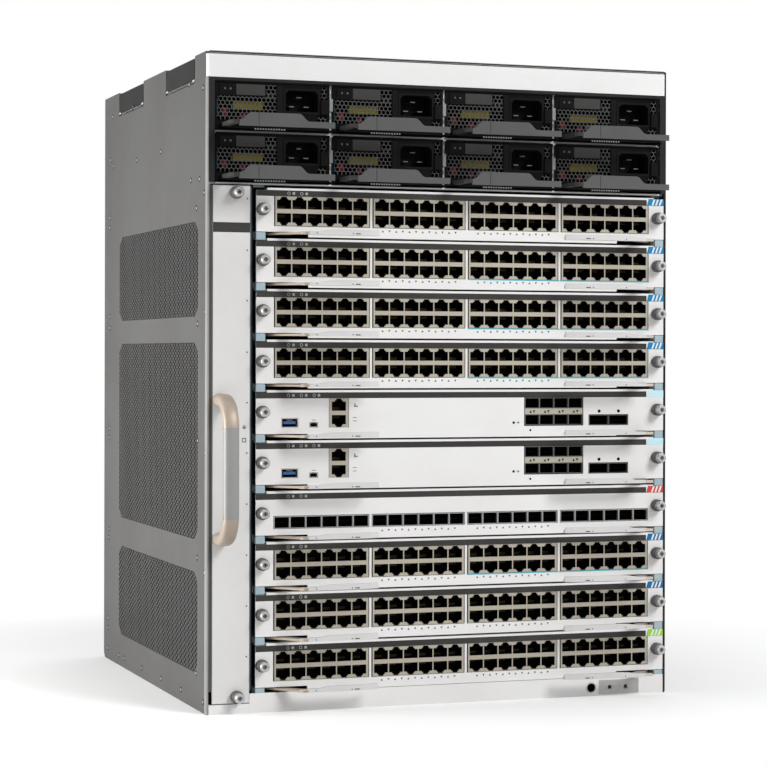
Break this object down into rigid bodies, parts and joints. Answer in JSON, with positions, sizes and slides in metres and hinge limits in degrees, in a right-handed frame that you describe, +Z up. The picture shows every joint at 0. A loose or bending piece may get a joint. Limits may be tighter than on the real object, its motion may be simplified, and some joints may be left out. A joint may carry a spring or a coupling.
{
  "type": "modular chassis switch",
  "caption": "Tall modular network switch: card slots with swing-out ejector levers, plug-in power supplies above and a side fan tray with a bow handle.",
  "frame": {"origin": "middle of the underside of the base", "axes": "+X to the right seen from the front, -Y out of the front, +Z up"},
  "size_m": [0.44, 0.454, 0.577],
  "materials": {
    "panel_grey": "satin grey painted steel sheet",
    "cover_grey": "satin grey painted steel sheet",
    "zinc_steel": "zinc plated steel sheet",
    "bezel_white": "light grey semi-gloss paint",
    "faceplate_grey": "light grey semi-gloss paint",
    "supply_charcoal": "charcoal satin paint",
    "lever_grey": "mid grey moulded plastic",
    "card_lever_grey": "light grey plastic on a steel arm",
    "grip_champagne": "satin champagne anodised",
    "guide_plastic": "pale grey-blue moulded plastic",
    "board_green": "solder-masked circuit board"
  },
  "bodies": {
    "chassis": {"left_side_panel": "panel_grey", "right_side_panel": "panel_grey", "top_cover": "cover_grey", "base_pan": "cover_grey", "rear_panel": "cover_grey", "top_bezel": "bezel_white", "power_bay_frame": "zinc_steel", "fan_bay_divider": "zinc_steel", "card_guides": "guide_plastic", "backplane": "board_green"},
    "fan_tray": {"fan_tray": "faceplate_grey", "fan_tray_handle": "grip_champagne"},
    "left_carry_handles": {"left_carry_handles": "cover_grey"},
    "right_carry_handles": {"right_carry_handles": "cover_grey"},
    "supervisor_05": {"supervisor_05": "faceplate_grey"},
    "slot_05_left_lever": {"slot_05_left_lever": "card_lever_grey"},
    "slot_05_right_lever": {"slot_05_right_lever": "card_lever_grey"},
    "power_supply_1": {"power_supply_1": "supply_charcoal"},
    "power_supply_1_lever": {"power_supply_1_lever": "lever_grey"},
    "line_card_01": {"line_card_01": "faceplate_grey"},
    "slot_01_left_lever": {"slot_01_left_lever": "card_lever_grey"},
    "slot_01_right_lever": {"slot_01_right_lever": "card_lever_grey"},
    "power_supply_6": {"power_supply_6": "supply_charcoal"},
    "power_supply_6_lever": {"power_supply_6_lever": "lever_grey"},
    "line_card_08": {"line_card_08": "faceplate_grey"},
    "slot_08_left_lever": {"slot_08_left_lever": "card_lever_grey"},
    "slot_08_right_lever": {"slot_08_right_lever": "card_lever_grey"},
    "line_card_10": {"line_card_10": "faceplate_grey"},
    "slot_10_left_lever": {"slot_10_left_lever": "card_lever_grey"},
    "slot_10_right_lever": {"slot_10_right_lever": "card_lever_grey"},
    "line_card_02": {"line_card_02": "faceplate_grey"},
    "slot_02_left_lever": {"slot_02_left_lever": "card_lever_grey"},
    "slot_02_right_lever": {"slot_02_right_lever": "card_lever_grey"},
    "line_card_03": {"line_card_03": "faceplate_grey"},
    "slot_03_left_lever": {"slot_03_left_lever": "card_lever_grey"},
    "slot_03_right_lever": {"slot_03_right_lever": "card_lever_grey"},
    "line_card_04": {"line_card_04": "faceplate_grey"},
    "slot_04_left_lever": {"slot_04_left_lever": "card_lever_grey"},
    "slot_04_right_lever": {"slot_04_right_lever": "card_lever_grey"},
    "supervisor_06": {"supervisor_06": "faceplate_grey"},
    "slot_06_left_lever": {"slot_06_left_lever": "card_lever_grey"},
    "slot_06_right_lever": {"slot_06_right_lever": "card_lever_grey"},
    "line_card_07": {"line_card_07": "faceplate_grey"},
    "slot_07_left_lever": {"slot_07_left_lever": "card_lever_grey"},
    "slot_07_right_lever": {"slot_07_right_lever": "card_lever_grey"},
    "line_card_09": {"line_card_09": "faceplate_grey"},
    "slot_09_left_lever": {"slot_09_left_lever": "card_lever_grey"},
    "slot_09_right_lever": {"slot_09_right_lever": "card_lever_grey"},
    "power_supply_2": {"power_supply_2": "supply_charcoal"},
    "power_supply_2_lever": {"power_supply_2_lever": "lever_grey"},
    "power_supply_3": {"power_supply_3": "supply_charcoal"},
    "power_supply_3_lever": {"power_supply_3_lever": "lever_grey"},
    "power_supply_4": {"power_supply_4": "supply_charcoal"},
    "power_supply_4_lever": {"power_supply_4_lever": "lever_grey"},
    "power_supply_5": {"power_supply_5": "supply_charcoal"},
    "power_supply_5_lever": {"power_supply_5_lever": "lever_grey"},
    "power_supply_7": {"power_supply_7": "supply_charcoal"},
    "power_supply_7_lever": {"power_supply_7_lever": "lever_grey"},
    "power_supply_8": {"power_supply_8": "supply_charcoal"},
    "power_supply_8_lever": {"power_supply_8_lever": "lever_grey"}
  },
  "joints": [
    {"name": "supervisor_05_slide", "type": "slide", "parent": "chassis", "child": "supervisor_05", "axis": [0, -1, 0], "range_m": [0, 0.33]},
    {"name": "slot_05_left_lever_swing", "type": "hinge", "parent": "supervisor_05", "child": "slot_05_left_lever", "pos_m": [-0.1605, -0.199, 0], "axis": [0, 0, -1], "range_deg": [0, 60]},
    {"name": "slot_05_right_lever_swing", "type": "hinge", "parent": "supervisor_05", "child": "slot_05_right_lever", "pos_m": [0.2026, -0.199, 0], "axis": [0, 0, 1], "range_deg": [0, 60]},
    {"name": "power_supply_1_slide", "type": "slide", "parent": "chassis", "child": "power_supply_1", "axis": [0, -1, 0], "range_m": [0, 0.32]},
    {"name": "power_supply_1_lever_swing", "type": "hinge", "parent": "power_supply_1", "child": "power_supply_1_lever", "pos_m": [-0.2045, -0.2093, 0], "axis": [0, 0, -1], "range_deg": [0, 45]},
    {"name": "line_card_01_slide", "type": "slide", "parent": "chassis", "child": "line_card_01", "axis": [0, -1, 0], "range_m": [0, 0.33]},
    {"name": "slot_01_left_lever_swing", "type": "hinge", "parent": "line_card_01", "child": "slot_01_left_lever", "pos_m": [-0.1605, -0.199, 0], "axis": [0, 0, -1], "range_deg": [0, 60]},
    {"name": "slot_01_right_lever_swing", "type": "hinge", "parent": "line_card_01", "child": "slot_01_right_lever", "pos_m": [0.2026, -0.199, 0], "axis": [0, 0, 1], "range_deg": [0, 60]},
    {"name": "fan_tray_slide", "type": "slide", "parent": "chassis", "child": "fan_tray", "axis": [0, -1, 0], "range_m": [0, 0.34]},
    {"name": "left_carry_handles_swing", "type": "hinge", "parent": "chassis", "child": "left_carry_handles", "pos_m": [-0.2167, 0, 0.5737], "axis": [0, 1, 0], "range_deg": [0, 85]},
    {"name": "right_carry_handles_swing", "type": "hinge", "parent": "chassis", "child": "right_carry_handles", "pos_m": [0.2167, 0, 0.5737], "axis": [0, -1, 0], "range_deg": [0, 85]},
    {"name": "power_supply_6_slide", "type": "slide", "parent": "chassis", "child": "power_supply_6", "axis": [0, -1, 0], "range_m": [0, 0.32]},
    {"name": "power_supply_6_lever_swing", "type": "hinge", "parent": "power_supply_6", "child": "power_supply_6_lever", "pos_m": [-0.0975, -0.2093, 0], "axis": [0, 0, -1], "range_deg": [0, 45]},
    {"name": "line_card_08_slide", "type": "slide", "parent": "chassis", "child": "line_card_08", "axis": [0, -1, 0], "range_m": [0, 0.33]},
    {"name": "slot_08_left_lever_swing", "type": "hinge", "parent": "line_card_08", "child": "slot_08_left_lever", "pos_m": [-0.1605, -0.199, 0], "axis": [0, 0, -1], "range_deg": [0, 60]},
    {"name": "slot_08_right_lever_swing", "type": "hinge", "parent": "line_card_08", "child": "slot_08_right_lever", "pos_m": [0.2026, -0.199, 0], "axis": [0, 0, 1], "range_deg": [0, 60]},
    {"name": "line_card_10_slide", "type": "slide", "parent": "chassis", "child": "line_card_10", "axis": [0, -1, 0], "range_m": [0, 0.33]},
    {"name": "slot_10_left_lever_swing", "type": "hinge", "parent": "line_card_10", "child": "slot_10_left_lever", "pos_m": [-0.1605, -0.199, 0], "axis": [0, 0, -1], "range_deg": [0, 60]},
    {"name": "slot_10_right_lever_swing", "type": "hinge", "parent": "line_card_10", "child": "slot_10_right_lever", "pos_m": [0.2026, -0.199, 0], "axis": [0, 0, 1], "range_deg": [0, 60]},
    {"name": "line_card_02_slide", "type": "slide", "parent": "chassis", "child": "line_card_02", "axis": [0, -1, 0], "range_m": [0, 0.33]},
    {"name": "slot_02_left_lever_swing", "type": "hinge", "parent": "line_card_02", "child": "slot_02_left_lever", "pos_m": [-0.1605, -0.199, 0], "axis": [0, 0, -1], "range_deg": [0, 60]},
    {"name": "slot_02_right_lever_swing", "type": "hinge", "parent": "line_card_02", "child": "slot_02_right_lever", "pos_m": [0.2026, -0.199, 0], "axis": [0, 0, 1], "range_deg": [0, 60]},
    {"name": "line_card_03_slide", "type": "slide", "parent": "chassis", "child": "line_card_03", "axis": [0, -1, 0], "range_m": [0, 0.33]},
    {"name": "slot_03_left_lever_swing", "type": "hinge", "parent": "line_card_03", "child": "slot_03_left_lever", "pos_m": [-0.1605, -0.199, 0], "axis": [0, 0, -1], "range_deg": [0, 60]},
    {"name": "slot_03_right_lever_swing", "type": "hinge", "parent": "line_card_03", "child": "slot_03_right_lever", "pos_m": [0.2026, -0.199, 0], "axis": [0, 0, 1], "range_deg": [0, 60]},
    {"name": "line_card_04_slide", "type": "slide", "parent": "chassis", "child": "line_card_04", "axis": [0, -1, 0], "range_m": [0, 0.33]},
    {"name": "slot_04_left_lever_swing", "type": "hinge", "parent": "line_card_04", "child": "slot_04_left_lever", "pos_m": [-0.1605, -0.199, 0], "axis": [0, 0, -1], "range_deg": [0, 60]},
    {"name": "slot_04_right_lever_swing", "type": "hinge", "parent": "line_card_04", "child": "slot_04_right_lever", "pos_m": [0.2026, -0.199, 0], "axis": [0, 0, 1], "range_deg": [0, 60]},
    {"name": "supervisor_06_slide", "type": "slide", "parent": "chassis", "child": "supervisor_06", "axis": [0, -1, 0], "range_m": [0, 0.33]},
    {"name": "slot_06_left_lever_swing", "type": "hinge", "parent": "supervisor_06", "child": "slot_06_left_lever", "pos_m": [-0.1605, -0.199, 0], "axis": [0, 0, -1], "range_deg": [0, 60]},
    {"name": "slot_06_right_lever_swing", "type": "hinge", "parent": "supervisor_06", "child": "slot_06_right_lever", "pos_m": [0.2026, -0.199, 0], "axis": [0, 0, 1], "range_deg": [0, 60]},
    {"name": "line_card_07_slide", "type": "slide", "parent": "chassis", "child": "line_card_07", "axis": [0, -1, 0], "range_m": [0, 0.33]},
    {"name": "slot_07_left_lever_swing", "type": "hinge", "parent": "line_card_07", "child": "slot_07_left_lever", "pos_m": [-0.1605, -0.199, 0], "axis": [0, 0, -1], "range_deg": [0, 60]},
    {"name": "slot_07_right_lever_swing", "type": "hinge", "parent": "line_card_07", "child": "slot_07_right_lever", "pos_m": [0.2026, -0.199, 0], "axis": [0, 0, 1], "range_deg": [0, 60]},
    {"name": "line_card_09_slide", "type": "slide", "parent": "chassis", "child": "line_card_09", "axis": [0, -1, 0], "range_m": [0, 0.33]},
    {"name": "slot_09_left_lever_swing", "type": "hinge", "parent": "line_card_09", "child": "slot_09_left_lever", "pos_m": [-0.1605, -0.199, 0], "axis": [0, 0, -1], "range_deg": [0, 60]},
    {"name": "slot_09_right_lever_swing", "type": "hinge", "parent": "line_card_09", "child": "slot_09_right_lever", "pos_m": [0.2026, -0.199, 0], "axis": [0, 0, 1], "range_deg": [0, 60]},
    {"name": "power_supply_2_slide", "type": "slide", "parent": "chassis", "child": "power_supply_2", "axis": [0, -1, 0], "range_m": [0, 0.32]},
    {"name": "power_supply_2_lever_swing", "type": "hinge", "parent": "power_supply_2", "child": "power_supply_2_lever", "pos_m": [-0.0975, -0.2093, 0], "axis": [0, 0, -1], "range_deg": [0, 45]},
    {"name": "power_supply_3_slide", "type": "slide", "parent": "chassis", "child": "power_supply_3", "axis": [0, -1, 0], "range_m": [0, 0.32]},
    {"name": "power_supply_3_lever_swing", "type": "hinge", "parent": "power_supply_3", "child": "power_supply_3_lever", "pos_m": [0.0095, -0.2093, 0], "axis": [0, 0, -1], "range_deg": [0, 45]},
    {"name": "power_supply_4_slide", "type": "slide", "parent": "chassis", "child": "power_supply_4", "axis": [0, -1, 0], "range_m": [0, 0.32]},
    {"name": "power_supply_4_lever_swing", "type": "hinge", "parent": "power_supply_4", "child": "power_supply_4_lever", "pos_m": [0.1165, -0.2093, 0], "axis": [0, 0, -1], "range_deg": [0, 45]},
    {"name": "power_supply_5_slide", "type": "slide", "parent": "chassis", "child": "power_supply_5", "axis": [0, -1, 0], "range_m": [0, 0.32]},
    {"name": "power_supply_5_lever_swing", "type": "hinge", "parent": "power_supply_5", "child": "power_supply_5_lever", "pos_m": [-0.2045, -0.2093, 0], "axis": [0, 0, -1], "range_deg": [0, 45]},
    {"name": "power_supply_7_slide", "type": "slide", "parent": "chassis", "child": "power_supply_7", "axis": [0, -1, 0], "range_m": [0, 0.32]},
    {"name": "power_supply_7_lever_swing", "type": "hinge", "parent": "power_supply_7", "child": "power_supply_7_lever", "pos_m": [0.0095, -0.2093, 0], "axis": [0, 0, -1], "range_deg": [0, 45]},
    {"name": "power_supply_8_slide", "type": "slide", "parent": "chassis", "child": "power_supply_8", "axis": [0, -1, 0], "range_m": [0, 0.32]},
    {"name": "power_supply_8_lever_swing", "type": "hinge", "parent": "power_supply_8", "child": "power_supply_8_lever", "pos_m": [0.1165, -0.2093, 0], "axis": [0, 0, -1], "range_deg": [0, 45]}
  ]
}
